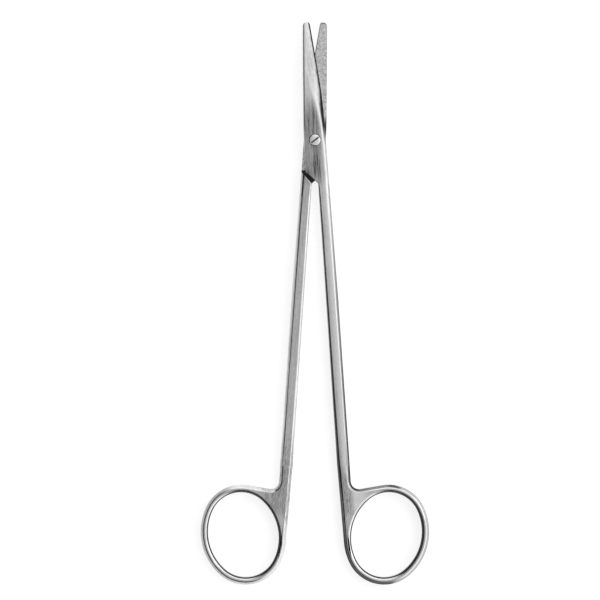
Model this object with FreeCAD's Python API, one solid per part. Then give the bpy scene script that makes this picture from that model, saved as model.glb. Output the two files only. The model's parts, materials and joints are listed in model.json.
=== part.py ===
"""Dissecting scissors: two forged halves that lap at a slotted pivot screw.

Each half is worked out in the closed position with the pivot axis on Z, the tip towards +Y and
the lap plane at z = 0. The top half has its blade at -X and its finger ring at +X. The bottom
half is the same forging turned half a turn about Y. Both are then opened and set on z = 0.
"""

import FreeCAD
import Part

import math
import os

from FreeCAD import Vector

# Lengths are in millimetres and angles in degrees.

# Opening
REST_OPENING = 7.7
SHANK_CLEARANCE = 0.24
LAP_CLEARANCE = 0.03

# Joint
JOINT_THICKNESS = 2.2
JOINT_BACK = 3.9
JOINT_FRONT = 3.55
HEEL_LENGTH = 9.7
SHOULDER_ANGLE = 45.0
SHOULDER_CLEARANCE = 0.25
HEEL_ROUND = 0.25
CROTCH_ROUND = 0.45
FORGING_STOCK = 0.1

# Blade
BLADE_LENGTH = 37.6
BLADE_BACK_MIDDLE = 3.07
BLADE_BACK_TIP = 1.58
BLADE_EDGE_START = 3.4
BLADE_EDGE_TIP = 0.84
BLADE_TIP_THICKNESS = 1.15
BLADE_EDGE_HEIGHT = 0.42
HONED_BEVEL = 0.26
BACK_DRAFT = 0.5
BACK_ROUND = 0.4
TIP_BACK_ROUND_WIDTH = 1.35
TIP_BACK_ROUND_LENGTH = 2.7
TIP_EDGE_ROUND_WIDTH = 0.6
TIP_EDGE_ROUND_LENGTH = 1.5

# Shank
SHANK_WIDTH = 3.98
SHANK_THICKNESS = 3.36
SHANK_ROUND = 1.5
SHANK_INNER_ROUND = 0.8

# Finger ring
RING_DISTANCE = 126.55
RING_OPENING_LENGTH = 27.2
RING_OPENING_WIDTH = 22.3
RING_END_TAPER = 0.62
RING_TILT = 15.6
RING_WALL = 2.35
RING_AXIS_GAP = 0.6
RING_THICKNESS = 3.5
RING_ROUND = 1.15
RING_BEVEL = 0.95
THROAT_RADIUS = 2.6
WEB_SLOPE = 6.0
WEB_START = 104.0

# Pivot screw
SCREW_HEAD_DIAMETER = 3.46
SCREW_HEAD_HEIGHT = 1.0
SCREW_HEAD_RISE = 0.05
SCREW_HEAD_CHAMFER = 0.18
SCREW_SHOULDER_DIAMETER = 2.6
SCREW_THREAD_DIAMETER = 2.2
SCREW_PEEN = 0.22
SLOT_WIDTH = 0.5
SLOT_DEPTH = 0.7
SLOT_ANGLE = 37.0
COUNTERBORE_CLEARANCE = 0.19
SHOULDER_RUNNING_CLEARANCE = 0.03
HEAD_SEAT_CLEARANCE = 0.02

# Derived places
INNER_X = SHANK_CLEARANCE / 2
CORNER_Y = -HEEL_LENGTH - (JOINT_BACK + INNER_X) * math.tan(math.radians(SHOULDER_ANGLE))
FAR = 300.0
ROUND_BULGE = math.sqrt(2) - 1
FLAT_BULGE = 0.01
Z_AXIS = Vector(0, 0, 1)


def smooth(stations, y):
    """Value at y of a monotone cubic through (y, value) stations."""
    ys = [s[0] for s in stations]
    vs = [s[1] for s in stations]
    if y <= ys[0]:
        return vs[0]
    if y >= ys[-1]:
        return vs[-1]
    steps = [b - a for a, b in zip(ys, ys[1:])]
    slopes = [(b - a) / h for a, b, h in zip(vs, vs[1:], steps)]
    tangents = [slopes[0]]
    for before, after in zip(slopes, slopes[1:]):
        tangents.append(0.0 if before * after <= 0 else 2 * before * after / (before + after))
    tangents.append(slopes[-1])
    i = max(k for k in range(len(steps)) if ys[k] <= y)
    h = steps[i]
    t = (y - ys[i]) / h
    return (
        (1 + 2 * t) * (1 - t) ** 2 * vs[i]
        + t * (1 - t) ** 2 * h * tangents[i]
        + t * t * (3 - 2 * t) * vs[i + 1]
        + t * t * (t - 1) * h * tangents[i + 1]
    )


def front_x(y):
    """Outer side of the shank and, above the pivot, the cutting edge."""
    return smooth(
        [
            (-WEB_START, INNER_X + SHANK_WIDTH),
            (-0.6 * WEB_START, INNER_X + SHANK_WIDTH - 0.02),
            (-0.25 * WEB_START, JOINT_FRONT + 0.23),
            (CORNER_Y, JOINT_FRONT + 0.08),
            (-4.0, JOINT_FRONT),
            (2.0, JOINT_FRONT - 0.03),
            (9.0, BLADE_EDGE_START - 0.02),
            (BLADE_LENGTH, BLADE_EDGE_TIP),
            (BLADE_LENGTH + 3.0, BLADE_EDGE_TIP - 0.29),
        ],
        y,
    )


def back_x(y):
    """Back of the blade and the heel, as a distance to the -X side of the pivot."""
    return smooth(
        [
            (-HEEL_LENGTH, JOINT_BACK),
            (-3.0, JOINT_BACK - 0.02),
            (1.5, JOINT_BACK - 0.12),
            (0.4 * BLADE_LENGTH, BLADE_BACK_MIDDLE),
            (BLADE_LENGTH, BLADE_BACK_TIP),
            (BLADE_LENGTH + 3.0, BLADE_BACK_TIP - 0.2),
        ],
        y,
    )


def half_depth(y):
    """Height of the forging's face above the lap plane."""
    flat = JOINT_THICKNESS + FORGING_STOCK
    return smooth(
        [
            (-WEB_START, RING_THICKNESS / 2),
            (-0.8 * WEB_START, SHANK_THICKNESS / 2),
            (-0.5 * WEB_START, SHANK_THICKNESS / 2 + 0.06),
            (-0.24 * WEB_START, JOINT_THICKNESS - 0.2),
            (CORNER_Y, JOINT_THICKNESS + 0.02),
            (-4.0, flat),
            (5.0, flat - 0.01),
            (0.32 * BLADE_LENGTH, JOINT_THICKNESS),
            (BLADE_LENGTH, BLADE_TIP_THICKNESS),
            (BLADE_LENGTH + 3.0, BLADE_TIP_THICKNESS - 0.1),
        ],
        y,
    )


def outer_corner(y):
    """Size of the corner on the shank's outer side."""
    return smooth([(-WEB_START, RING_BEVEL), (-0.8 * WEB_START, 1.3), (CORNER_Y, SHANK_ROUND)], y)


def inner_corner(y):
    """Size of the corner on the side of the shank that faces the other shank."""
    return smooth(
        [
            (-WEB_START, RING_BEVEL),
            (-0.7 * WEB_START, 1.0),
            (CORNER_Y - 8.0, SHANK_INNER_ROUND),
            (CORNER_Y, CROTCH_ROUND),
        ],
        y,
    )


def line(a, b):
    """Straight edge between two points."""
    return Part.LineSegment(a, b).toShape()


def arc(a, middle, b):
    """Circular edge through three points."""
    return Part.Arc(a, middle, b).toShape()


def corner_middle(a, b, corner, bulge):
    """Point on the way from the middle of a-b towards a corner."""
    middle = (a + b) * 0.5
    return middle + (corner - middle) * bulge


def shank_section(y):
    """Closed wire of the shank's rounded section at y."""
    x0, x1, z = INNER_X, front_x(y), half_depth(y)
    inner, outer = inner_corner(y), outer_corner(y)
    bulge = smooth([(-WEB_START, FLAT_BULGE), (-0.8 * WEB_START, ROUND_BULGE)], y)
    edges = []
    corners = [
        (x0, z, inner, 1, -1),
        (x1, z, outer, -1, -1),
        (x1, -z, outer, -1, 1),
        (x0, -z, inner, 1, 1),
    ]
    ends = []
    for cx, cz, r, sx, sz in corners:
        corner = Vector(cx, y, cz)
        along_x = Vector(cx + sx * r, y, cz)
        along_z = Vector(cx, y, cz + sz * r)
        first, last = (along_z, along_x) if sx * sz < 0 else (along_x, along_z)
        ends.append((first, corner_middle(first, last, corner, bulge), last))
    for k, (first, middle, last) in enumerate(ends):
        edges.append(arc(first, middle, last))
        edges.append(line(last, ends[(k + 1) % 4][0]))
    return Part.Wire(edges)


def bevel_width(y):
    """Width of the slope from the blade's face down to its edge."""
    room = front_x(y) + back_x(y) - BACK_DRAFT - BACK_ROUND
    return min(
        smooth(
            [
                (CORNER_Y, SHANK_ROUND),
                (-4.0, SHANK_ROUND + 0.1),
                (2.0, SHANK_ROUND + 0.35),
                (0.18 * BLADE_LENGTH, 2.1),
                (0.36 * BLADE_LENGTH, 2.9),
                (0.55 * BLADE_LENGTH, 3.8),
            ],
            y,
        ),
        room - 0.12,
    )


def blade_section(y):
    """Closed wire of the blade and heel at y, with its sides drawn on below the lap plane."""
    xl, xr, z = -back_x(y), front_x(y), half_depth(y)
    width = bevel_width(y)
    edge_height = smooth(
        [(CORNER_Y, z - outer_corner(y)), (0.0, 0.7), (0.35 * BLADE_LENGTH, BLADE_EDGE_HEIGHT)], y
    )
    honed = smooth([(0.0, 0.0), (0.25 * BLADE_LENGTH, HONED_BEVEL)], y)
    bulge = smooth([(CORNER_Y, ROUND_BULGE), (0.0, 0.36), (0.35 * BLADE_LENGTH, 0.16)], y)
    draft = BACK_DRAFT * min(1.0, z / JOINT_THICKNESS)
    p0 = Vector(xl, y, -JOINT_THICKNESS)
    p1 = Vector(xl + draft, y, z - BACK_ROUND)
    p2 = Vector(xl + draft + BACK_ROUND, y, z)
    p3 = Vector(xr - width, y, z)
    p4 = Vector(xr - honed, y, edge_height)
    p5 = Vector(xr, y, LAP_CLEARANCE / 2)
    p6 = Vector(xr, y, -JOINT_THICKNESS)
    back = corner_middle(p1, p2, Vector(xl + draft, y, z), 0.38)
    slope = corner_middle(p3, p4, Vector(p4.x, y, z), bulge)
    return Part.Wire(
        [
            line(p0, p1),
            arc(p1, back, p2),
            line(p2, p3),
            arc(p3, slope, p4),
            line(p4, p5),
            line(p5, p6),
            line(p6, p0),
        ]
    )


def half_space(y_low, y_high, z_low, z_high):
    """Block that is wide in X and bounded in Y and Z."""
    return Part.makeBox(2 * FAR, y_high - y_low, z_high - z_low, Vector(-FAR, y_low, z_low))


def beyond_diagonal(side, distance):
    """Block that holds all points past a line at the shoulder angle on one side of the pivot."""
    block = Part.makeBox(2 * FAR, FAR, 2 * FAR, Vector(-FAR, -FAR, -FAR))
    foot = Vector(0, CORNER_Y - distance / math.cos(math.radians(SHOULDER_ANGLE)), 0)
    foot.x = -side * INNER_X
    block.rotate(Vector(), Z_AXIS, side * SHOULDER_ANGLE)
    block.translate(foot)
    return block


def shank():
    """Shank from the web up to the shoulder that stops the other half's heel."""
    stations = [-share * WEB_START for share in (1.0, 0.88, 0.76, 0.62, 0.48, 0.36, 0.26, 0.18)]
    stations += [CORNER_Y, CORNER_Y + 5.0, CORNER_Y + 10.0]
    body = Part.makeLoft([shank_section(y) for y in stations], True, True)
    body = body.cut(half_space(CORNER_Y, FAR, LAP_CLEARANCE / 2, FAR))
    return body.common(beyond_diagonal(1, SHOULDER_CLEARANCE))


def blade():
    """Blade and heel above the lap plane, with a blunt rounded tip."""
    stations = [CORNER_Y - 8.0, CORNER_Y, -8.0, -2.0, 4.0, 9.0]
    stations += [share * BLADE_LENGTH for share in (0.36, 0.48, 0.6, 0.72, 0.84, 0.94, 1.03)]
    body = Part.makeLoft([blade_section(y) for y in stations], True, True)
    body = body.common(half_space(CORNER_Y, FAR, LAP_CLEARANCE / 2, FAR))
    body = body.common(tip_prism())
    return body.cut(beyond_diagonal(-1, 0.0))


def quarter_oval(side, crown, corner):
    """Quarter of an oval from a side to a crown, in the corner that their tangents make."""
    centre = side + crown - corner
    return Part.Arc(Part.Ellipse(crown, side, centre), 0, math.pi / 2).toShape()


def tip_prism():
    """Prism whose end is the rounded outline of the tip."""
    top = BLADE_LENGTH
    below = -JOINT_THICKNESS
    back = Vector(-back_x(top - TIP_BACK_ROUND_LENGTH), top - TIP_BACK_ROUND_LENGTH, below)
    edge = Vector(front_x(top - TIP_EDGE_ROUND_LENGTH), top - TIP_EDGE_ROUND_LENGTH, below)
    back_crown = Vector(back.x + TIP_BACK_ROUND_WIDTH, top, below)
    edge_crown = Vector(edge.x - TIP_EDGE_ROUND_WIDTH, top, below)
    lower_left, lower_right = Vector(-FAR, -FAR, below), Vector(FAR, -FAR, below)
    left, right = Vector(-FAR, back.y, below), Vector(FAR, edge.y, below)
    outline = Part.Wire(
        [
            line(lower_left, left),
            line(left, back),
            quarter_oval(back, back_crown, Vector(back.x, top, below)),
            line(back_crown, edge_crown),
            quarter_oval(edge, edge_crown, Vector(edge.x, top, below)),
            line(edge, right),
            line(right, lower_right),
            line(lower_right, lower_left),
        ]
    )
    return Part.Face(outline).extrude(Vector(0, 0, FAR))


def ring_axes():
    """Centre of the finger ring, and the directions of its length and of its side to the axis."""
    tilt = math.radians(RING_TILT)
    along = Vector(math.sin(tilt), math.cos(tilt), 0)
    inward = Vector(-along.y, along.x, 0)
    side_radius = ring_side_radius()
    reach = side_radius + RING_WALL - (side_radius - RING_OPENING_WIDTH / 2) * math.cos(tilt)
    return Vector(RING_AXIS_GAP + reach, -RING_DISTANCE, 0), along, inward


def ring_end_radius():
    """Radius of the opening's ends, drawn in from half its width as far as it is longer than wide."""
    return RING_OPENING_WIDTH / 2 * (1 - RING_END_TAPER * (1 - RING_OPENING_WIDTH / RING_OPENING_LENGTH))


def ring_side_radius():
    """Radius of the opening's long sides, from its length, its width and its end radius."""
    end_radius = ring_end_radius()
    end_offset = RING_OPENING_LENGTH / 2 - end_radius
    half_width = RING_OPENING_WIDTH / 2
    return (end_offset**2 + half_width**2 - end_radius**2) / (2 * (half_width - end_radius))


def ring_centres():
    """Centres of the four arcs: upper end, side near the axis, lower end and far side."""
    centre, along, inward = ring_axes()
    end_offset = along * (RING_OPENING_LENGTH / 2 - ring_end_radius())
    side_offset = inward * (ring_side_radius() - RING_OPENING_WIDTH / 2)
    return centre + end_offset, centre - side_offset, centre - end_offset, centre + side_offset


def oval_point(end, side, wall):
    """Point where an end arc meets a side arc, at a distance from the opening."""
    return end + (end - side).normalize() * (ring_end_radius() + wall)


def bowed(centre, a, b):
    """Circular edge about a centre from one point to another, the short way round."""
    outward = ((a - centre) + (b - centre)).normalize() * (a - centre).Length
    return arc(a, centre + outward, b)


def oval_edges(wall):
    """Edges of a full oval at a distance from the opening, from its upper end anticlockwise."""
    upper, near, lower, far = ring_centres()
    joints = [oval_point(e, s, wall) for e, s in ((upper, far), (upper, near), (lower, near), (lower, far))]
    centres = [upper, near, lower, far]
    return [bowed(c, joints[k], joints[(k + 1) % 4]) for k, c in enumerate(centres)]


def ring():
    """Finger ring with the flat web that joins it to the shank."""
    upper, near, lower, far = ring_centres()
    end_radius = ring_end_radius() + RING_WALL
    side_radius = ring_side_radius() + RING_WALL
    side_x = front_x(-WEB_START)
    top = -WEB_START + 2.0
    inner_top, outer_top = Vector(INNER_X, top, 0), Vector(side_x, top, 0)
    inner_end = Vector(INNER_X, -WEB_START, 0)

    sight = inner_end - near
    turn = math.atan2(sight.y, sight.x) + math.acos(side_radius / sight.Length)
    touch = near + Vector(math.cos(turn), math.sin(turn), 0) * side_radius

    slope = math.radians(WEB_SLOPE)
    normal = Vector(-math.sin(slope), math.cos(slope), 0)
    crest = upper + normal * end_radius
    middle = Vector(side_x + THROAT_RADIUS, 0, 0)
    middle.y = crest.y + (THROAT_RADIUS + (middle.x - crest.x) * math.sin(slope)) / math.cos(slope)
    side = Vector(side_x, middle.y, 0)
    foot = middle - normal * THROAT_RADIUS

    near_lower = oval_point(lower, near, RING_WALL)
    far_lower = oval_point(lower, far, RING_WALL)
    far_upper = oval_point(upper, far, RING_WALL)
    outline = Part.Wire(
        [
            line(outer_top, inner_top),
            line(inner_top, inner_end),
            line(inner_end, touch),
            bowed(near, touch, near_lower),
            bowed(lower, near_lower, far_lower),
            bowed(far, far_lower, far_upper),
            bowed(upper, far_upper, crest),
            line(crest, foot),
            bowed(middle, foot, side),
            line(side, outer_top),
        ]
    )
    plate = prism(outline)
    rims = [edge for edge in plate.Edges if is_level(edge) and edge.BoundBox.YMin < top - 1e-3]
    plate = plate.makeChamfer(RING_BEVEL, rims)
    plate = plate.cut(prism(Part.Wire(oval_edges(0.0))))
    rims = [edge for edge in plate.Edges if is_level(edge) and is_on_opening(edge)]
    plate = plate.makeFillet(RING_ROUND, rims)
    return plate.cut(half_space(-WEB_START, FAR, -FAR, FAR))


def prism(outline):
    """Plate of the ring's thickness inside an outline."""
    plate = Part.Face(outline).extrude(Vector(0, 0, RING_THICKNESS))
    plate.translate(Vector(0, 0, -RING_THICKNESS / 2))
    return plate


def is_level(edge):
    """Whether an edge lies in one plane across the pivot axis."""
    return edge.BoundBox.ZLength < 1e-6


def is_on_opening(edge):
    """Whether an edge is one of the arcs of the finger opening."""
    if not isinstance(edge.Curve, Part.Circle):
        return False
    return min(abs(edge.Curve.Radius - r) for r in (ring_end_radius(), ring_side_radius())) < 1e-6


def forging():
    """One half in the closed position, before the pivot hole is made."""
    body = ring().fuse(shank()).fuse(blade())
    body = body.common(half_space(-FAR, FAR, -JOINT_THICKNESS, JOINT_THICKNESS)).removeSplitter()
    return body.makeFillet(HEEL_ROUND, [edge for edge in body.Edges if lies_across_joint(edge)])


def lies_across_joint(edge):
    """Whether an edge is the rim of the heel or of the shoulder on a ground face."""
    start, end = edge.Vertexes[0].Point, edge.Vertexes[-1].Point
    run = end - start
    on_face = abs(abs(start.z) - JOINT_THICKNESS) < 1e-6 and abs(run.z) < 1e-6
    slanted = abs(abs(run.y) - abs(run.x) * math.tan(math.radians(SHOULDER_ANGLE))) < 1e-3
    return on_face and slanted and edge.Length > HEEL_ROUND


def cylinder(diameter, z_low, z_high):
    """Cylinder on the pivot axis between two heights."""
    return Part.makeCylinder(diameter / 2, z_high - z_low, Vector(0, 0, z_low))


def head_top():
    """Height of the top of the screw head."""
    return JOINT_THICKNESS + SCREW_HEAD_RISE


def head_seat():
    """Height of the underside of the screw head."""
    return head_top() - SCREW_HEAD_HEIGHT


def top_half():
    """Half with the bore and counterbore, blade at -X and ring at +X."""
    bore = cylinder(SCREW_SHOULDER_DIAMETER + 2 * SHOULDER_RUNNING_CLEARANCE, -1, FAR)
    recess = cylinder(
        SCREW_HEAD_DIAMETER + 2 * COUNTERBORE_CLEARANCE, head_seat() - HEAD_SEAT_CLEARANCE, FAR
    )
    return forging().cut(bore).cut(recess)


def bottom_half():
    """The same forging turned over, with the threaded hole and its countersunk back."""
    body = forging()
    body.rotate(Vector(), Vector(0, 1, 0), 180)
    return body.cut(cylinder(SCREW_THREAD_DIAMETER, -FAR, 1)).cut(peened_end())


def peened_end():
    """Cone that the screw's end fills at the back of the bottom half."""
    radius = SCREW_THREAD_DIAMETER / 2
    return Part.makeCone(radius + SCREW_PEEN, radius, SCREW_PEEN, Vector(0, 0, -JOINT_THICKNESS))


def pivot_screw():
    """Slotted shoulder screw, threaded into the bottom half and peened at its end."""
    head = cylinder(SCREW_HEAD_DIAMETER, head_seat(), head_top())
    rim = [edge for edge in head.Edges if edge.BoundBox.ZMin > head_top() - 1e-6]
    head = head.makeChamfer(SCREW_HEAD_CHAMFER, rim)
    shoulder = cylinder(SCREW_SHOULDER_DIAMETER, -LAP_CLEARANCE / 2, head_seat())
    thread = cylinder(SCREW_THREAD_DIAMETER, -JOINT_THICKNESS, -LAP_CLEARANCE / 2)
    slot = Part.makeBox(FAR, SLOT_WIDTH, FAR, Vector(-FAR / 2, -SLOT_WIDTH / 2, head_top() - SLOT_DEPTH))
    slot.rotate(Vector(), Z_AXIS, SLOT_ANGLE)
    return head.fuse(shoulder).fuse(thread).fuse(peened_end()).removeSplitter().cut(slot)


def placed(body, turn):
    """Body turned about the pivot and lifted so that the joint's back lies on z = 0."""
    body.rotate(Vector(), Z_AXIS, turn)
    body.translate(Vector(0, 0, JOINT_THICKNESS))
    return body


def single(shape):
    """The only solid of a shape."""
    if len(shape.Solids) != 1 or not shape.isValid():
        raise ValueError("expected one valid solid")
    return shape.Solids[0]


def main():
    """Write each node in its place as a STEP file."""
    os.makedirs("parts", exist_ok=True)
    half_turn = REST_OPENING / 2
    nodes = {
        "top_half": placed(top_half(), half_turn),
        "bottom_half": placed(bottom_half(), -half_turn),
        "pivot_screw": placed(pivot_screw(), 0),
    }
    for name, body in nodes.items():
        single(body).exportStep(os.path.join("parts", name + ".step"))


if __name__ == "__main__":
    main()
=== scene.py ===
"""Brushed steel dissecting scissors, lying partly open on a white table under soft studio light."""

import json
import logging
import math
from dataclasses import dataclass
from enum import Enum

import bpy
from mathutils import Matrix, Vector

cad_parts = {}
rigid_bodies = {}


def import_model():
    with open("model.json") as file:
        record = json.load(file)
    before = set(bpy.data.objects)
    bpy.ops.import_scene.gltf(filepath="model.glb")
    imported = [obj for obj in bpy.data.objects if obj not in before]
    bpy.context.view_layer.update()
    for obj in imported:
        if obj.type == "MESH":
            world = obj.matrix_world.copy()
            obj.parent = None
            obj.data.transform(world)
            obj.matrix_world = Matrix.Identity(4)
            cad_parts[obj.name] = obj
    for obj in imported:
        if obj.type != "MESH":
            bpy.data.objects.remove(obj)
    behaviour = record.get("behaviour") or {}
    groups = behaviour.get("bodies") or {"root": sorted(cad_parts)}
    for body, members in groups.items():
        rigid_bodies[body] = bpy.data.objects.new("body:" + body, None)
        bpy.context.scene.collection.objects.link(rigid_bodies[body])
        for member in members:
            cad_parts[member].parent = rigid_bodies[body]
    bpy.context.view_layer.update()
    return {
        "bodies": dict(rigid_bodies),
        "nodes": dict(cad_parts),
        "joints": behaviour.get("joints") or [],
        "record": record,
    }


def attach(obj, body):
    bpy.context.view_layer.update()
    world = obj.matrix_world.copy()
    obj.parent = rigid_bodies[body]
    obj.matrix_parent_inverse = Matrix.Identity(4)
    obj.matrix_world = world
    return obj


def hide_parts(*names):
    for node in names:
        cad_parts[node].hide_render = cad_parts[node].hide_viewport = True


LOG = logging.getLogger("scissors")

# The two ends of a soft step, where it is 0 and where it is 1, or the four corners of a plateau.
Ends = tuple[float, ...]

MM = 0.001
HALF_OPENING = math.radians(3.85)
LAP_HEIGHT = 2.2 * MM
RING_CENTRE = (14.25 * MM, -126.55 * MM)
RING_TURN = math.radians(15.6)
RING_STRETCH = 27.2 / 22.3
FLAT_BEND = math.radians(0.4)
SHADING_CREASE = math.radians(30.0)
PAINTED_FLANK_SHADE = "flank"
NOISE_MEAN = 0.5


def mm(*lengths: float) -> tuple[float, ...]:
    """Lengths in metres, from millimetres."""
    return tuple(length * MM for length in lengths)


class Side(Enum):
    """Which way a half is turned: the side of the pivot on which its finger ring lies."""

    RIGHT = 1.0
    LEFT = -1.0


class Element(Enum):
    """What is selected in edit mode, with the name of a mesh's list of it."""

    EDGE = "edges"
    FACE = "polygons"


class Signal:
    """A shader socket on which plain arithmetic adds the nodes that it stands for."""

    def __init__(self, graph: "Graph", socket: bpy.types.NodeSocket) -> None:
        """Wraps one output socket.

        Args:
            graph: The node graph that the socket belongs to.
            socket: The output socket that carries the value.
        """
        self.graph = graph
        self.socket = socket

    def _maths(self, operation: str, *values: "float | Signal") -> "Signal":
        """Adds one Math node.

        Args:
            operation: The Math node's operation.
            *values: Its inputs, in order.

        Returns:
            The node's value.
        """
        return self.graph.node("ShaderNodeMath", {"operation": operation}, dict(enumerate(values)))

    def __add__(self, other: "float | Signal") -> "Signal":
        """Sum of two values."""
        return self._maths("ADD", self, other)

    def __radd__(self, other: float) -> "Signal":
        """Sum with a number on the left."""
        return self._maths("ADD", other, self)

    def __sub__(self, other: "float | Signal") -> "Signal":
        """Difference of two values."""
        return self._maths("SUBTRACT", self, other)

    def __rsub__(self, other: float) -> "Signal":
        """Difference from a number on the left."""
        return self._maths("SUBTRACT", other, self)

    def __mul__(self, other: "float | Signal") -> "Signal":
        """Product of two values."""
        return self._maths("MULTIPLY", self, other)

    def __rmul__(self, other: float) -> "Signal":
        """Product with a number on the left."""
        return self._maths("MULTIPLY", other, self)

    def __truediv__(self, other: float) -> "Signal":
        """Quotient by a number."""
        return self._maths("DIVIDE", self, other)

    def root(self) -> "Signal":
        """Square root of the value."""
        return self._maths("SQRT", self)

    def size(self) -> "Signal":
        """The value without its sign."""
        return self._maths("ABSOLUTE", self)

    def larger(self, other: "Signal") -> "Signal":
        """The larger of two values."""
        return self._maths("MAXIMUM", self, other)

    def angle_to(self, other: "Signal") -> "Signal":
        """Angle whose opposite side is this value and whose near side is the other."""
        return self._maths("ARCTAN2", self, other)

    def swing(self) -> "Signal":
        """How far a noise is above its mean, or below it where negative."""
        return self - NOISE_MEAN

    def toward(self, other: "float | Signal", share: "Signal") -> "Signal":
        """This value where the share is 0, and the other one where it is 1."""
        return self + share * (other - self)

    def ramp(self, low: float, high: float) -> "Signal":
        """Smooth step of the value.

        Args:
            low: Where the step is 0.
            high: Where the step is 1, which may be less.

        Returns:
            A value from 0 to 1.
        """
        if low > high:
            return 1.0 - self.ramp(high, low)
        inputs = {"Value": self, "From Min": low, "From Max": high}
        return self.graph.node("ShaderNodeMapRange", {"interpolation_type": "SMOOTHSTEP"}, inputs)

    def plateau(self, foot: float, top: float, far_top: float, far_foot: float) -> "Signal":
        """Smooth step up and down again.

        Args:
            foot: Where it starts to rise from 0.
            top: Where it reaches 1.
            far_top: Where it starts to fall.
            far_foot: Where it is 0 again.

        Returns:
            A value from 0 to 1.
        """
        return self.ramp(foot, top) * self.ramp(far_foot, far_top)

    def relief(self, strength: float, depth: float) -> "Signal":
        """Normal of a surface that has this value as its height.

        Args:
            strength: How much of the relief shows.
            depth: How high a value of 1 stands.

        Returns:
            The bumped normal.
        """
        inputs = {"Strength": strength, "Distance": depth, "Height": self}
        return self.graph.node("ShaderNodeBump", inputs=inputs)


class Graph:
    """The nodes of one material or of the world."""

    # A Mix node's sockets for colours, which share their names with its others.
    MIX_LOW = 6
    MIX_HIGH = 7
    MIX_RESULT = 2

    def __init__(self, tree: bpy.types.NodeTree) -> None:
        """Empties a node tree, to build it anew.

        Args:
            tree: The tree of a material or of the world.
        """
        self.tree = tree
        tree.nodes.clear()

    def _add(
        self, kind: str, settings: dict[str, object], inputs: dict[int | str, object]
    ) -> bpy.types.Node:
        """Adds one node.

        Args:
            kind: The node's type.
            settings: Properties, or a ramp's stops, which are set before its sockets are.
            inputs: Values or links of its sockets, by index or name.

        Returns:
            The node.
        """
        made = self.tree.nodes.new(kind)
        for name, value in settings.items():
            if name == "stops":
                self._set_stops(made.color_ramp, value)
            else:
                setattr(made, name, value)
        for key, value in inputs.items():
            if isinstance(value, Signal):
                self.tree.links.new(value.socket, made.inputs[key])
            else:
                made.inputs[key].default_value = value
        return made

    @staticmethod
    def _set_stops(ramp: bpy.types.ColorRamp, stops: tuple[tuple[float, float], ...]) -> None:
        """Sets a ramp's grey stops.

        Args:
            ramp: The ramp, with its two first stops.
            stops: Position and level of each stop, in rising order.
        """
        while len(ramp.elements) < len(stops):
            ramp.elements.new(1.0)
        for element, (position, level) in zip(ramp.elements, stops):
            element.position = position
            element.color = grey(level)

    def node(
        self,
        kind: str,
        settings: dict[str, object] | None = None,
        inputs: dict[int | str, object] | None = None,
        output: int | str = 0,
    ) -> Signal:
        """Adds one node and gives one of its outputs.

        Args:
            kind: The node's type.
            settings: Properties, or a ramp's stops, which are set before its sockets are.
            inputs: Values or links of its sockets, by index or name.
            output: The output that is wanted, by index or name.

        Returns:
            The wanted output.
        """
        made = self._add(kind, settings or {}, inputs or {})
        return Signal(self, made.outputs[output])

    def split(self, vector: Signal) -> tuple[Signal, Signal, Signal]:
        """Takes a vector apart.

        Args:
            vector: The vector.

        Returns:
            Its x, y and z.
        """
        made = self._add("ShaderNodeSeparateXYZ", {}, {0: vector})
        return tuple(Signal(self, made.outputs[k]) for k in range(3))

    def noise(
        self, place: Signal, scale: float = 1.0, detail: float = 2.0, roughness: float = 0.5
    ) -> Signal:
        """Adds a noise.

        Args:
            place: The coordinates that it is read at.
            scale: How many of its features a length of 1 holds.
            detail: Octaves of finer features.
            roughness: How strong each finer octave is.

        Returns:
            Values about NOISE_MEAN.
        """
        inputs = {"Vector": place, "Scale": scale, "Detail": detail, "Roughness": roughness}
        return self.node("ShaderNodeTexNoise", inputs=inputs)

    def blend(self, share: Signal, low: Signal, high: Signal) -> Signal:
        """Mixes two colours.

        Args:
            share: How much of the second colour shows.
            low: The colour at 0.
            high: The colour at 1.

        Returns:
            The mixed colour.
        """
        inputs = {0: share, self.MIX_LOW: low, self.MIX_HIGH: high}
        return self.node("ShaderNodeMix", {"data_type": "RGBA"}, inputs, self.MIX_RESULT)

    def neutral(self, level: Signal) -> Signal:
        """Grey colour of a varying level."""
        return self.node("ShaderNodeCombineColor", inputs={0: level, 1: level, 2: level})

    def finish(self, kind: str, shader: Signal) -> None:
        """Links a shader to the tree's output.

        Args:
            kind: The output node's type.
            shader: The shader that the output shows.
        """
        self._add(kind, {}, {"Surface": shader})

    def finish_steel(self, level: Signal, roughness: Signal, relief: Signal) -> None:
        """Ends a material as bare steel.

        Args:
            level: How much light it reflects.
            roughness: How matte it is.
            relief: Its bumped normal.
        """
        inputs = {
            "Base Color": self.neutral(level),
            "Metallic": 1.0,
            "Roughness": roughness,
            "Normal": relief,
        }
        shader = self.node("ShaderNodeBsdfPrincipled", inputs=inputs)
        self.finish("ShaderNodeOutputMaterial", shader)


def grey(level: float) -> tuple[float, float, float, float]:
    """Neutral colour of one linear level."""
    return (level, level, level, 1.0)


def new_material(name: str) -> tuple[bpy.types.Material, Graph]:
    """Makes a material.

    Args:
        name: Its name.

    Returns:
        The material, and its nodes, of which there are none yet.
    """
    made = bpy.data.materials.new(name)
    made.use_nodes = True
    return made, Graph(made.node_tree)


@dataclass(frozen=True)
class Grain:
    """Streaks that brushing leaves: their width, their length and their octaves of finer ones."""

    pitch: float
    length: float
    detail: float
    roughness: float = 0.6

    def drawn(self, place: Signal) -> Signal:
        """Noise drawn out along y.

        Args:
            place: Coordinates with y along the grain.

        Returns:
            Values about NOISE_MEAN.
        """
        scale = (1 / self.pitch, 1 / self.length, 1 / self.pitch)
        stretched = place.graph.node("ShaderNodeMapping", inputs={"Vector": place, "Scale": scale})
        return place.graph.noise(stretched, detail=self.detail, roughness=self.roughness)


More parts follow.
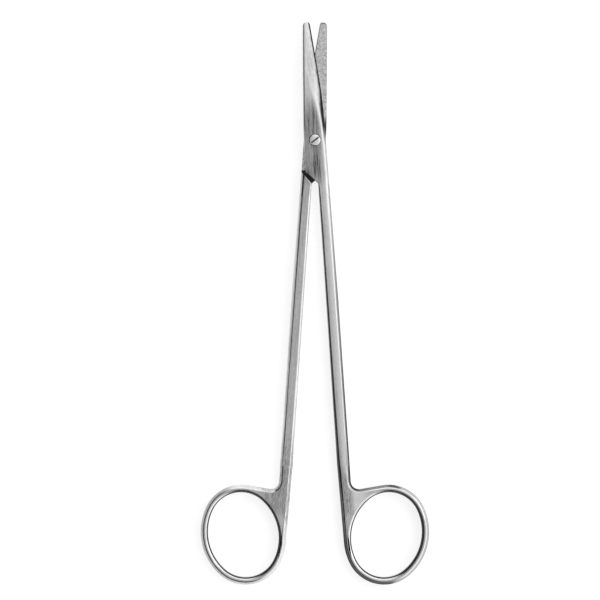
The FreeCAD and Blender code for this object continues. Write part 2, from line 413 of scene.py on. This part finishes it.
@dataclass(frozen=True)
class Brushing:
    """Mean level of a brushed face, and how far each grain makes it lighter and darker."""

    level: float
    fine: float
    coarse: float
    grit: float

    def shade(self, fine: Signal, coarse: Signal, grit: Signal) -> Signal:
        """Level at each place, from how far each grain is above or below its mean there."""
        return self.level + self.fine * fine + self.coarse * coarse + self.grit * grit


@dataclass(frozen=True)
class SteelPlace:
    """What a half's finish goes by at each place, with the half in line and its ring at +X.

    The first three are measured from the pivot at the back of the joint. Facing is 1 where the
    surface lies level and 0 where it is upright, and flat is the share of level faces. The rest
    are the shares of the ring and of the lap plane, and the noises.
    """

    across: Signal
    along: Signal
    height: Signal
    facing: Signal
    flat: Signal
    on_ring: Signal
    on_lap: Signal
    fine: Signal
    coarse: Signal
    grit: Signal
    speckle: Signal
    cloud: Signal


@dataclass(frozen=True)
class PaintedEdgeShadeLine:
    """Painted shade: a thin dark line along the cutting edge and round the tip, on the cutting
    side.

    The edge lies at reach from the middle where it starts, and comes in by fall up to the tip, in
    a curve that bulge draws outwards.
    """

    start: float = 9.0 * MM
    length: float = 28.6 * MM
    reach: float = 3.38 * MM
    fall: float = 2.54 * MM
    bulge: float = 1.6 * MM
    width: Ends = mm(0.42, 0.14)
    run_in: float = 9.0 * MM
    width_at_tip: Ends = mm(0.7, 0.2)

    def share(self, at: SteelPlace) -> Signal:
        """Share of the painted edge shade.

        Args:
            at: What the finish goes by.

        Returns:
            1 at the edge.
        """
        run = (at.along - self.start) / self.length
        left = 1.0 - run
        edge = self.reach - run * self.fall + run * left * left * self.bulge
        at_edge = (edge - at.across).ramp(*self.width)
        at_edge = at_edge * at.along.ramp(self.start, self.start + self.run_in)
        tip = self.start + self.length
        return at_edge.larger(at.along.ramp(*(tip - width for width in self.width_at_tip)))


@dataclass(frozen=True)
class PaintedSheenBand:
    """Painted sheen: a lighter band along the ring's side of a half, from its blade down to its
    ring.
    """

    inner_side: Ends = mm(1.0, 2.8)
    upper_end: Ends = mm(18.0, 8.0)
    web: Ends = mm(-102.0, -114.0)
    shift_at_web: float = 2.4 * MM
    blade: Ends = mm(3.0, 12.0)
    shift_at_blade: float = 0.9 * MM
    level: float = 0.8
    gain_where_flat: float = 0.6
    grit: float = 0.4

    def share(self, at: SteelPlace) -> Signal:
        """Share of the painted sheen.

        Args:
            at: What the finish goes by.

        Returns:
            1 inside it.
        """
        shift = at.along.ramp(*self.web) * self.shift_at_web
        shift = shift - at.along.ramp(*self.blade) * self.shift_at_blade
        outward = (at.across - shift).ramp(*self.inner_side)
        return outward * at.along.ramp(*self.upper_end) * (1.0 - at.on_ring)

    def shade(self, at: SteelPlace) -> Signal:
        """Level of the painted sheen inside the band."""
        return self.level + self.gain_where_flat * at.flat + self.grit * at.grit.swing()


@dataclass(frozen=True)
class PaintedGapShade:
    """Painted shade in gaps: on the lap by the shoulder and the pivot, and in the counterbore."""

    shoulder_corner: tuple[float, ...] = mm(0.12, -13.72)
    foot_width: Ends = mm(2.3, 1.9)
    foot_end: Ends = mm(-9.5, -9.9)
    beside_across: Ends = mm(-2.5, -3.0)
    beside_along: Ends = mm(1.0, 2.5, 6.0, 8.2)
    beside_share: float = 0.9
    counterbore: Ends = mm(2.05, 1.95)
    counterbore_height: Ends = mm(3.0, 3.2, 4.2, 4.3)

    def share(self, at: SteelPlace) -> Signal:
        """Share of the painted shade.

        Args:
            at: What the finish goes by.

        Returns:
            1 where the painted shade is full.
        """
        corner_across, corner_along = self.shoulder_corner
        past_shoulder = (at.along - corner_along) - (at.across - corner_across)
        foot = past_shoulder.ramp(*self.foot_width) * at.along.ramp(*self.foot_end)
        beside = self.beside_share * at.across.ramp(*self.beside_across)
        beside = beside * at.along.plateau(*self.beside_along)
        radius = (at.across * at.across + at.along * at.along).root()
        bore = radius.ramp(*self.counterbore) * at.height.plateau(*self.counterbore_height)
        return (at.on_lap * foot.larger(beside)).larger(bore)


@dataclass(frozen=True)
class SatinSteel:
    """Stainless steel brushed along each half and round its finger ring, matte where it cuts."""

    side: Side
    tone: float
    painted_sheen: float

    # Grains, speckles and clouds.
    fine: Grain = Grain(pitch=0.13 * MM, length=7.0 * MM, detail=2.0)
    coarse: Grain = Grain(pitch=0.42 * MM, length=11.2 * MM, detail=3.0)
    grit: Grain = Grain(pitch=0.3 * MM, length=1.5 * MM, detail=2.0)
    speckle_pitch: float = 0.48 * MM
    speckle_detail: float = 4.0
    speckle_roughness: float = 0.65
    clouds_per_metre: float = 90.0

    # Where the parts of a half begin and end.
    ring_reach: float = 16.9 * MM
    ring_border: Ends = mm(0.5, -0.3)
    throat_along: Ends = mm(-121.0, -117.0)
    throat_across: Ends = mm(11.0, 7.0)
    web_along: Ends = mm(-90.0, -107.0)
    joint_along: Ends = mm(-15.5, -10.0, 7.0, 16.0)
    joint_height: Ends = mm(4.05, 4.3)
    blade_along: Ends = mm(-14.0, -9.0)
    tip_along: Ends = mm(9.0, 24.0)
    slope_along: Ends = mm(1.0, 8.0, 16.0, 40.0)
    lap_distance: Ends = mm(0.09, 0.05)

    # How level the surface is, from 0 to 1.
    flat_facing: Ends = (0.95, 0.99)
    steep_facing: Ends = (0.78, 0.7)
    flank_facing: Ends = (0.04, 0.24, 0.66, 0.84)

    # Light and dark: grain and tone, with painted light and painted shade on the tip, slopes, sheen
    # band, flanks, cutting edge and gaps.
    face: Brushing = Brushing(level=0.97, fine=0.3, coarse=0.6, grit=0.5)
    web: Brushing = Brushing(level=0.72, fine=0.5, coarse=0.7, grit=1.3)
    joint: Brushing = Brushing(level=0.2, fine=0.4, coarse=0.5, grit=0.5)
    joint_streaks: Ends = (0.36, 0.62)
    cloud_shade: float = 0.2
    tip_painted_slope_shade: float = 0.26
    tip_painted_flat_light: float = 0.36
    painted_slope_shade: float = 0.2
    painted_flank_tone: float = 0.04
    lap_level: float = 1.02
    lap_speckle: float = 2.3
    painted_edge_shade: float = 0.6
    painted_gap_shade: float = 0.94
    line: PaintedEdgeShadeLine = PaintedEdgeShadeLine()
    painted_sheen_band: PaintedSheenBand = PaintedSheenBand()
    gap_shade: PaintedGapShade = PaintedGapShade()

    # Roughness and relief.
    roughness: float = 0.2
    fine_roughness: float = 0.12
    cloud_roughness: float = 0.08
    slope_polish: float = 0.06
    blade_roughness: float = 0.12
    tip_roughness: float = 0.1
    steep_roughness: float = 0.28
    lap_roughness: float = 0.5
    relief_strength: float = 0.3
    relief_depth: float = 0.006 * MM
    speckle_relief: float = 1.5

    def _ring_place(self, place: Signal) -> tuple[Signal, Signal]:
        """Polar coordinates about the ring's centre, drawn out so that the oval is a circle.

        Args:
            place: Coordinates in line with the half.

        Returns:
            Coordinates with y round the ring, and the share of the ring at each place.
        """
        graph = place.graph
        side = self.side.value
        centre = (RING_CENTRE[0] * side, RING_CENTRE[1], 0.0)
        moved = graph.node("ShaderNodeVectorMath", {"operation": "SUBTRACT"}, {0: place, 1: centre})
        turn = (0.0, 0.0, side * RING_TURN)
        turned = graph.node("ShaderNodeMapping", inputs={"Vector": moved, "Rotation": turn})
        x, y, z = graph.split(turned)
        wide = x * RING_STRETCH
        radius = (wide * wide + y * y).root()
        run = y.angle_to(wide) * self.ring_reach
        polar = graph.node("ShaderNodeCombineXYZ", inputs={0: radius, 1: run, 2: z})
        return polar, radius.ramp(*(self.ring_reach + border for border in self.ring_border))

    def _survey(self, graph: Graph) -> SteelPlace:
        """Works out what the finish goes by.

        Args:
            graph: The material's nodes.

        Returns:
            Place, facing, shares and noises.
        """
        place = graph.node("ShaderNodeTexCoord", output="Object")
        turn = (0.0, 0.0, self.side.value * -HALF_OPENING)
        in_line = graph.node("ShaderNodeMapping", inputs={"Vector": place, "Rotation": turn})
        x, along, height = graph.split(in_line)
        across = x * self.side.value
        polar, on_ring = self._ring_place(in_line)
        by_throat = along.ramp(*self.throat_along) * across.ramp(*self.throat_across)
        on_ring = on_ring * (1.0 - by_throat)
        facing = graph.split(graph.node("ShaderNodeTexCoord", output="Normal"))[2].size()
        fine, coarse, grit = (
            grain.drawn(in_line).toward(grain.drawn(polar), on_ring)
            for grain in (self.fine, self.coarse, self.grit)
        )
        speckle = graph.noise(
            place, 1 / self.speckle_pitch, self.speckle_detail, self.speckle_roughness
        )
        return SteelPlace(
            across=across,
            along=along,
            height=height,
            facing=facing,
            flat=facing.ramp(*self.flat_facing),
            on_ring=on_ring,
            on_lap=(height - LAP_HEIGHT).size().ramp(*self.lap_distance),
            fine=fine,
            coarse=coarse,
            grit=grit,
            speckle=speckle,
            cloud=graph.noise(in_line, self.clouds_per_metre),
        )

    def _ground_level(self, at: SteelPlace) -> Signal:
        """Level of the brushed faces: blade, joint, shank, web and ring, with painted light and
        painted shade on the tip, the sheen band and the slopes.

        Args:
            at: What the finish goes by.

        Returns:
            Their level, where 1 is the half's tone.
        """
        fine, coarse, grit = at.fine.swing(), at.coarse.swing(), at.grit.swing()
        level = self.face.shade(fine, coarse, grit) + self.cloud_shade * at.cloud.swing()
        on_tip = at.along.ramp(*self.tip_along)
        # Painted light on the tip's flats and painted shade on its slopes.
        level = level + on_tip * (self.tip_painted_flat_light * at.flat - self.tip_painted_slope_shade)
        on_web = at.along.ramp(*self.web_along) * (1.0 - at.on_ring)
        level = level.toward(self.web.shade(fine, coarse, grit), on_web)
        on_joint = at.along.plateau(*self.joint_along) * at.height.ramp(*self.joint_height)
        streaks = at.coarse.ramp(*self.joint_streaks)
        level = level.toward(self.joint.shade(fine, streaks, grit), on_joint)
        # Painted sheen: a lighter band along the ring's side.
        level = level.toward(self.painted_sheen_band.shade(at), self.painted_sheen * self.painted_sheen_band.share(at))
        # Painted shade on the blade's sloping faces.
        on_slope = (1.0 - at.flat) * at.along.plateau(*self.slope_along)
        return level * (1.0 - self.painted_slope_shade * on_slope)

    def _level(self, at: SteelPlace) -> Signal:
        """Level of the whole half.

        Args:
            at: What the finish goes by.

        Returns:
            How much light the steel reflects.
        """
        lap_level = self.lap_level + self.lap_speckle * at.speckle.swing()
        # Painted shade: a dark line on the lap along the cutting edge and round the tip.
        lap_level = lap_level * (1.0 - self.painted_edge_shade * self.line.share(at))
        level = self._ground_level(at).toward(lap_level, at.on_lap)
        # Painted shade on the steep flanks, from the stored attribute, and painted light where it
        # is below 0.
        flank = at.facing.graph.node("ShaderNodeAttribute", {"attribute_name": PAINTED_FLANK_SHADE}, output="Fac")
        flank = flank * at.facing.plateau(*self.flank_facing)
        level = level * (1.0 - (1.0 - self.painted_flank_tone) * flank)
        # Painted shade in the gaps by the shoulder and the pivot, and in the counterbore.
        return self.tone * level * (1.0 - self.painted_gap_shade * self.gap_shade.share(at))

    def _roughness(self, at: SteelPlace) -> Signal:
        """Roughness of the whole half.

        Args:
            at: What the finish goes by.

        Returns:
            How matte the steel is.
        """
        rough = self.roughness + self.fine_roughness * at.fine.swing()
        rough = rough + self.cloud_roughness * at.cloud.swing()
        rough = rough - self.slope_polish * (1.0 - at.flat)
        rough = rough + self.blade_roughness * at.along.ramp(*self.blade_along)
        rough = rough + self.tip_roughness * at.along.ramp(*self.tip_along)
        rough = rough + self.steep_roughness * at.facing.ramp(*self.steep_facing)
        return rough.toward(self.lap_roughness, at.on_lap)

    def material(self) -> bpy.types.Material:
        """Builds the finish.

        Returns:
            The material of one half.
        """
        made, graph = new_material(f"satin_steel_{self.side.name.lower()}")
        at = self._survey(graph)
        height = at.fine.toward(at.speckle * self.speckle_relief, at.on_lap)
        relief = height.relief(self.relief_strength, self.relief_depth)
        graph.finish_steel(self._level(at), self._roughness(at), relief)
        return made


@dataclass(frozen=True)
class ScrewSteel:
    """Bright steel, turned in fine rings about the pivot, with painted shade in its slot."""

    tone: float = 0.86
    ring_shade: float = 0.2
    roughness: float = 0.28
    ring_roughness: float = 0.1
    turning_pitch: float = 0.09 * MM
    slot_height: Ends = mm(3.0, 3.2, 4.16, 4.28)
    slot_reach: Ends = mm(1.6, 1.3)
    slot_painted_shade: float = 0.9
    relief_strength: float = 0.2
    relief_depth: float = 0.004 * MM

    def material(self) -> bpy.types.Material:
        """Builds the finish.

        Returns:
            The screw's material.
        """
        made, graph = new_material("screw_steel")
        x, y, z = graph.split(graph.node("ShaderNodeTexCoord", output="Object"))
        radius = (x * x + y * y).root()
        inputs = {0: radius / self.turning_pitch, 1: z / self.turning_pitch}
        rings = graph.noise(graph.node("ShaderNodeCombineXYZ", inputs=inputs))
        # Painted shade inside the slot.
        in_slot = z.plateau(*self.slot_height) * radius.ramp(*self.slot_reach)
        level = self.tone * (1.0 + self.ring_shade * rings.swing())
        level = level * (1.0 - self.slot_painted_shade * in_slot)
        roughness = self.roughness + self.ring_roughness * rings.swing()
        relief = rings.relief(self.relief_strength, self.relief_depth)
        graph.finish_steel(level, roughness, relief)
        return made


@dataclass(frozen=True)
class TableWhite:
    """Matte grey, made white to the eye and in reflections by a glow that lights nothing."""

    tone: float = 0.4
    glow: float = 0.78

    def material(self) -> bpy.types.Material:
        """Builds the finish.

        Returns:
            The table's material.
        """
        made, graph = new_material("table_white")
        rays = ("Is Camera Ray", "Is Glossy Ray", "Is Transmission Ray")
        camera, glossy, through = (graph.node("ShaderNodeLightPath", output=ray) for ray in rays)
        inputs = {"Color": grey(1.0), "Strength": (camera + glossy + through) * self.glow}
        glow = graph.node("ShaderNodeEmission", inputs=inputs)
        matte = graph.node("ShaderNodeBsdfDiffuse", inputs={"Color": grey(self.tone)})
        both = graph.node("ShaderNodeAddShader", inputs={0: matte, 1: glow})
        graph.finish("ShaderNodeOutputMaterial", both)
        return made


def turned(x: float, y: float, turn: float) -> tuple[float, float]:
    """Turns a place about the origin.

    Args:
        x: Its x.
        y: Its y.
        turn: The angle, in radians.

    Returns:
        Its x and y after the turn.
    """
    cosine, sine = math.cos(turn), math.sin(turn)
    return x * cosine - y * sine, x * sine + y * cosine


def deselect_all() -> None:
    """Clears the selection, which the frame's nodes start in."""
    bpy.ops.object.select_all(action="DESELECT")


def make_active(piece: bpy.types.Object) -> None:
    """Selects one object alone and makes it the active one.

    Args:
        piece: The object.
    """
    deselect_all()
    piece.select_set(True)
    bpy.context.view_layer.objects.active = piece


def select(piece: bpy.types.Object, element: Element, chosen: set[int]) -> None:
    """Enters edit mode with some edges or faces selected.

    Args:
        piece: The active object.
        element: Whether they are edges or faces.
        chosen: Their indices.
    """
    bpy.ops.object.mode_set(mode="EDIT")
    bpy.ops.mesh.select_mode(type=element.name)
    bpy.ops.mesh.select_all(action="DESELECT")
    bpy.ops.object.mode_set(mode="OBJECT")
    for index in chosen:
        getattr(piece.data, element.value)[index].select = True
    bpy.ops.object.mode_set(mode="EDIT")


def merge_flat_faces() -> None:
    """Merges the active object's neighbouring faces that lie in one plane, but not over seams."""
    bpy.ops.object.mode_set(mode="EDIT")
    bpy.ops.mesh.select_all(action="SELECT")
    bpy.ops.mesh.dissolve_limited(angle_limit=FLAT_BEND, delimit={"SEAM"})
    bpy.ops.object.mode_set(mode="OBJECT")


def edge_bends(mesh: bpy.types.Mesh) -> dict[int, tuple[float, Vector]]:
    """Bend and middle of each edge that joins two faces.

    Args:
        mesh: The mesh.

    Returns:
        For each edge's index, the angle between its faces, and its middle.
    """
    normals = {}
    for face in mesh.polygons:
        for key in face.edge_keys:
            normals.setdefault(key, []).append(face.normal.copy())
    bends = {}
    for edge in mesh.edges:
        pair = normals.get(edge.key, [])
        if len(pair) == 2:
            start, end = (mesh.vertices[index].co for index in edge.vertices)
            bends[edge.index] = (pair[0].angle(pair[1], 0.0), (start + end) / 2)
    return bends


def soften(piece: bpy.types.Object, width: float, steps: int, crease: float) -> None:
    """Breaks a piece's sharp edges and smooths its shading.

    Args:
        piece: The active object.
        width: Width of the broken edges.
        steps: Facets across them.
        crease: Smallest bend that counts as sharp.
    """
    bevel = piece.modifiers.new("broken_edges", "BEVEL")
    bevel.width = width
    bevel.segments = steps
    bevel.limit_method = "ANGLE"
    bevel.angle_limit = crease
    bpy.ops.object.modifier_apply(modifier=bevel.name)
    merge_flat_faces()
    bpy.ops.object.shade_smooth_by_angle(angle=SHADING_CREASE)
    weighted = piece.modifiers.new("face_weights", "WEIGHTED_NORMAL")
    weighted.keep_sharp = True
    bpy.ops.object.modifier_apply(modifier=weighted.name)


@dataclass
class ForgedHalf:
    """One half of the scissors: blade, heel, shank, web and finger ring."""

    node: str
    body: str
    side: Side
    tone: float
    painted_sheen: float
    outer_painted_flank_shade: float
    inner_painted_flank_shade: float
    weld: float = 0.002 * MM
    crease_angle: float = math.radians(28.0)
    edge_width: float = 0.07 * MM
    edge_steps: int = 2
    shank_start: float = -14.5 * MM
    throat_start: float = -85.0 * MM
    ring_start: float = -103.0 * MM
    web_end: float = -122.0 * MM
    opening_reach: float = 14.5 * MM
    least_outward: float = 0.2
    ring_share: float = 0.3
    shank_share: float = 0.3
    inner_web_share: float = 0.7
    ring_cuts: int = 3
    ring_bevel_bend: tuple[float, float] = (math.radians(35.0), math.radians(55.0))
    ring_soft_width: float = 0.3 * MM
    ring_soft_steps: int = 4

    def in_line(self, place: Vector) -> Vector:
        """Place as it is in the closed position, mirrored so that the ring is at +X."""
        x, y = turned(place.x, place.y, -self.side.value * HALF_OPENING)
        return Vector((x * self.side.value, y, place.z))

    def copy_forging(self, frame: dict) -> bpy.types.Object:
        """Copies the solid and merges its loose triangles into faces.

        Args:
            frame: The loaded frame.

        Returns:
            The copy, active.
        """
        source = frame["nodes"][self.node]
        piece = source.copy()
        piece.data = source.data.copy()
        piece.name = piece.data.name = f"{self.node}_forging"
        bpy.context.collection.objects.link(piece)
        make_active(piece)
        bpy.ops.object.mode_set(mode="EDIT")
        bpy.ops.mesh.select_all(action="SELECT")
        bpy.ops.mesh.remove_doubles(threshold=self.weld)
        bpy.ops.mesh.dissolve_degenerate(threshold=self.weld)
        bpy.ops.object.mode_set(mode="OBJECT")
        self.divide_ring(piece)
        merge_flat_faces()
        return piece

    def divide_ring(self, piece: bpy.types.Object) -> None:
        """Cuts the ring across at even turns, so that no flat face closes on itself.

        Args:
            piece: The active object.
        """
        side = self.side.value
        opened = side * HALF_OPENING
        centre = (*turned(RING_CENTRE[0] * side, RING_CENTRE[1], opened), 0.0)
        for step in range(self.ring_cuts):
            turn = opened + math.pi * step / self.ring_cuts
            beyond = {
                face.index
                for face in piece.data.polygons
                if self.in_line(face.center).y < self.ring_start
            }
            select(piece, Element.FACE, beyond)
            bpy.ops.mesh.bisect(plane_co=centre, plane_no=(math.cos(turn), math.sin(turn), 0.0))
            bpy.ops.mesh.mark_seam(clear=False)
            bpy.ops.object.mode_set(mode="OBJECT")

    def round_ring(self, piece: bpy.types.Object) -> None:
        """Rounds the long edges of the ring's outer bevels.

        Args:
            piece: The active object.
        """
        least, most = self.ring_bevel_bend
        chosen = {
            index
            for index, (bend, middle) in edge_bends(piece.data).items()
            if least < bend < most and self.in_line(middle).y < self.ring_start
        }
        select(piece, Element.EDGE, chosen)
        bpy.ops.mesh.bevel(
            offset=self.ring_soft_width, segments=self.ring_soft_steps, affect="EDGES"
        )
        bpy.ops.object.mode_set(mode="OBJECT")

    def painted_flank_shade_at(self, place: Vector, outward: float) -> float:
        """How much painted shade a steep place gets, for the dark reflections and shade along the
        flanks and inside the ring.

        Args:
            place: The place, in line with the half and with the ring at +X.
            outward: How far the surface faces towards the ring's side.

        Returns:
            0 for none, 1 for full painted shade, and less than 0 for painted light.
        """
        x, y = turned(place.x - RING_CENTRE[0], place.y - RING_CENTRE[1], RING_TURN)
        if math.hypot(x * RING_STRETCH, y) < self.opening_reach:
            return 1.0
        faces_out = outward > self.least_outward
        if place.y > self.shank_start:
            return self.outer_painted_flank_shade if faces_out and min(place.x, place.y) > 0.0 else 0.0
        if place.x > RING_CENTRE[0] and faces_out:
            return self.ring_share * self.outer_painted_flank_shade
        share = self.outer_painted_flank_shade if outward > 0.0 else self.inner_painted_flank_shade
        if place.y > self.throat_start:
            run = (self.shank_start - place.y) / (self.shank_start - self.throat_start)
            return share * (self.shank_share + (1.0 - self.shank_share) * run * run)
        return self.inner_web_share * share if outward < 0.0 and place.y > self.web_end else share

    def paint_flank_shade(self, piece: bpy.types.Object) -> None:
        """Stores the painted shade of the steep flanks, or the painted light where it is below 0.

        Args:
            piece: The finished mesh.
        """
        flank = piece.data.attributes.new(PAINTED_FLANK_SHADE, "FLOAT", "POINT")
        for vertex in piece.data.vertices:
            outward = vertex.normal.x * self.side.value
            flank.data[vertex.index].value = self.painted_flank_shade_at(self.in_line(vertex.co), outward)

    def build(self, frame: dict) -> bpy.types.Object:
        """Makes the half's visible piece from its solid.

        Args:
            frame: The loaded frame.

        Returns:
            The finished piece.
        """
        piece = self.copy_forging(frame)
        self.round_ring(piece)
        soften(piece, self.edge_width, self.edge_steps, self.crease_angle)
        self.paint_flank_shade(piece)
        piece.data.materials.clear()
        piece.data.materials.append(SatinSteel(self.side, self.tone, self.painted_sheen).material())
        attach(piece, self.body)
        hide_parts(self.node)
        return piece


@dataclass
class PivotScrew:
    """The slotted screw on which the halves turn, with a slightly domed head and a peened end."""

    node: str = "pivot_screw"
    body: str = "bottom_body"
    sides: int = 96
    head_radius: float = 1.73 * MM
    head_under: float = 3.45 * MM
    head_rim: float = 4.3 * MM
    head_crown: float = 4.5 * MM
    shoulder_radius: float = 1.3 * MM
    shoulder_foot: float = 2.185 * MM
    thread_radius: float = 1.1 * MM
    peen: float = 0.22 * MM
    dome_steps: int = 8
    slot_width: float = 0.5 * MM
    slot_floor: float = 3.75 * MM
    slot_turn: float = math.radians(37.0)
    cutter_height: float = 1.0 * MM
    cutter_length: float = 6.0 * MM
    edge_width: float = 0.035 * MM
    edge_steps: int = 2
    crease_angle: float = math.radians(35.0)

    def profile(self) -> list[tuple[float, float]]:
        """Works out the screw's turned rims.

        Returns:
            Radius and height of each rim, from the peened end up to the crown.
        """
        rims = [
            (self.thread_radius + self.peen, 0.0),
            (self.thread_radius, self.peen),
            (self.thread_radius, self.shoulder_foot),
            (self.shoulder_radius, self.shoulder_foot),
            (self.shoulder_radius, self.head_under),
            (self.head_radius, self.head_under),
            (self.head_radius, self.head_rim),
        ]
        rise = self.head_crown - self.head_rim
        for step in range(1, self.dome_steps):
            share = 1.0 - step / self.dome_steps
            rims.append((self.head_radius * share, self.head_rim + rise * (1.0 - share * share)))
        return rims

    def turn_body(self) -> bpy.types.Object:
        """Turns the screw from a disc, drawn up and widened or narrowed rim by rim.

        Returns:
            The screw without its slot.
        """
        rims = self.profile()
        deselect_all()
        bpy.ops.mesh.primitive_circle_add(
            vertices=self.sides, radius=rims[0][0], fill_type="NGON", location=(0.0, 0.0, 0.0)
        )
        piece = bpy.context.active_object
        piece.name = piece.data.name = "screw_turned"
        bpy.ops.object.mode_set(mode="EDIT")
        bpy.ops.mesh.select_all(action="SELECT")
        for (radius, height), (next_radius, next_height) in zip(rims, rims[1:]):
            rise = (0.0, 0.0, next_height - height)
            bpy.ops.mesh.extrude_region_move(TRANSFORM_OT_translate={"value": rise})
            share = next_radius / radius
            centre = (0.0, 0.0, next_height)
            bpy.ops.transform.resize(value=(share, share, 1.0), center_override=centre)
        bpy.ops.mesh.select_all(action="SELECT")
        bpy.ops.mesh.normals_make_consistent(inside=False)
        bpy.ops.object.mode_set(mode="OBJECT")
        return piece

    def cut_slot(self, piece: bpy.types.Object) -> None:
        """Mills the driver slot across the head.

        Args:
            piece: The turned screw.
        """
        deselect_all()
        bpy.ops.mesh.primitive_cube_add(
            size=1.0,
            location=(0.0, 0.0, self.slot_floor + self.cutter_height / 2),
            rotation=(0.0, 0.0, self.slot_turn),
            scale=(self.cutter_length, self.slot_width, self.cutter_height),
        )
        cutter = bpy.context.active_object
        make_active(piece)
        milled = piece.modifiers.new("slot", "BOOLEAN")
        milled.operation = "DIFFERENCE"
        milled.solver = "EXACT"
        milled.object = cutter
        bpy.ops.object.modifier_apply(modifier=milled.name)
        bpy.data.objects.remove(cutter, do_unlink=True)

    def build(self) -> bpy.types.Object:
        """Makes the screw.

        Returns:
            The finished piece.
        """
        piece = self.turn_body()
        self.cut_slot(piece)
        soften(piece, self.edge_width, self.edge_steps, self.crease_angle)
        piece.data.materials.clear()
        piece.data.materials.append(ScrewSteel().material())
        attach(piece, self.body)
        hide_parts(self.node)
        return piece


@dataclass
class Studio:
    """White table, a bright side to the upper right, a dark one to the lower left, and a camera.

    Each side has stops: the height of the way that is looked in, from 0 for level to 1 for
    straight up, and the brightness there.
    """

    view_centre: tuple[float, ...] = mm(-4.74, -50.72)
    view_width: float = 190.8 * MM
    lens: float = 135.0
    sensor_width: float = 36.0
    nearest: float = 0.01
    farthest: float = 10.0
    floor_size: float = 3.0
    floor_gap: float = 0.1 * MM
    key_turn: float = math.radians(22.0)
    key_border: Ends = (-0.25, 0.2)
    bright_side: tuple[tuple[float, float], ...] = (
        (0.0, 0.9),
        (0.12, 1.1),
        (0.3, 1.6),
        (0.6, 1.6),
        (0.85, 1.0),
        (0.95, 0.7),
        (1.0, 0.62),
    )
    dark_side: tuple[tuple[float, float], ...] = (
        (0.0, 0.85),
        (0.1, 0.6),
        (0.18, 0.03),
        (0.7, 0.02),
        (0.83, 0.3),
        (0.94, 0.55),
        (1.0, 0.62),
    )
    lamp_place: tuple[float, float, float] = (0.75, 0.2, 0.45)
    lamp_aim: tuple[float, float, float] = (0.0, -0.05, 0.0)
    lamp_size: tuple[float, float] = (0.5, 1.2)
    lamp_power: float = 0.8

    def floor(self) -> None:
        """Lays the table under the scissors."""
        deselect_all()
        bpy.ops.mesh.primitive_plane_add(
            size=self.floor_size, location=(0.0, 0.0, -self.floor_gap)
        )
        table = bpy.context.active_object
        table.name = "table"
        bpy.ops.object.transform_apply(location=True, rotation=True, scale=True)
        table.data.materials.append(TableWhite().material())

    def world(self) -> None:
        """Surrounds the table with the studio's walls, which the steel mirrors."""
        world = bpy.data.worlds.new("studio")
        bpy.context.scene.world = world
        world.use_nodes = True
        graph = Graph(world.node_tree)
        x, y, z = graph.split(graph.node("ShaderNodeTexCoord", output="Generated"))
        toward_key = x * math.cos(self.key_turn) + y * math.sin(self.key_turn)
        dark, bright = (
            graph.node("ShaderNodeValToRGB", {"stops": stops}, {0: z})
            for stops in (self.dark_side, self.bright_side)
        )
        colour = graph.blend(toward_key.ramp(*self.key_border), dark, bright)
        sky = graph.node("ShaderNodeBackground", inputs={"Color": colour, "Strength": 1.0})
        graph.finish("ShaderNodeOutputWorld", sky)

    def lamp(self) -> None:
        """Hangs the soft box, facing the scissors."""
        light = bpy.data.lights.new("right_softbox", "AREA")
        light.shape = "RECTANGLE"
        light.size, light.size_y = self.lamp_size
        light.energy = self.lamp_power
        lamp = bpy.data.objects.new("right_softbox", light)
        lamp.location = self.lamp_place
        aim = Vector(self.lamp_aim) - Vector(self.lamp_place)
        lamp.rotation_euler = aim.to_track_quat("-Z", "Y").to_euler()
        bpy.context.collection.objects.link(lamp)

    def camera(self) -> None:
        """Sets the camera above the scissors, with the photograph's frame."""
        data = bpy.data.cameras.new("camera")
        data.sensor_width = self.sensor_width
        data.lens = self.lens
        data.clip_start, data.clip_end = self.nearest, self.farthest
        made = bpy.data.objects.new("camera", data)
        distance = self.view_width * self.lens / self.sensor_width
        made.location = (*self.view_centre, LAP_HEIGHT + distance)
        bpy.context.collection.objects.link(made)
        bpy.context.scene.camera = made

    def build(self) -> None:
        """Sets up the whole studio."""
        self.camera()
        self.floor()
        self.world()
        self.lamp()
        bpy.context.scene.view_settings.view_transform = "Standard"


def report(piece: bpy.types.Object) -> None:
    """Logs how many faces a finished piece has."""
    LOG.info("%s: %d faces", piece.name, len(piece.data.polygons))


def main() -> None:
    """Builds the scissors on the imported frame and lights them."""
    logging.basicConfig(level=logging.INFO, format="%(message)s")
    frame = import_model()
    deselect_all()
    Studio().build()
    # The top half's tone is a little higher than the bottom half's, as painted light; only the top
    # half has the painted sheen, and the bottom half's flanks get painted light.
    top_half = ForgedHalf(
        "top_half",
        "top_body",
        Side.RIGHT,
        tone=0.66,
        painted_sheen=0.9,
        outer_painted_flank_shade=1.0,
        inner_painted_flank_shade=1.0,
    )
    bottom_half = ForgedHalf(
        "bottom_half",
        "bottom_body",
        Side.LEFT,
        tone=0.62,
        painted_sheen=0.0,
        outer_painted_flank_shade=-0.4,
        inner_painted_flank_shade=-0.3,
    )
    report(top_half.build(frame))
    report(bottom_half.build(frame))
    report(PivotScrew().build())


if __name__ == "__main__":
    main()
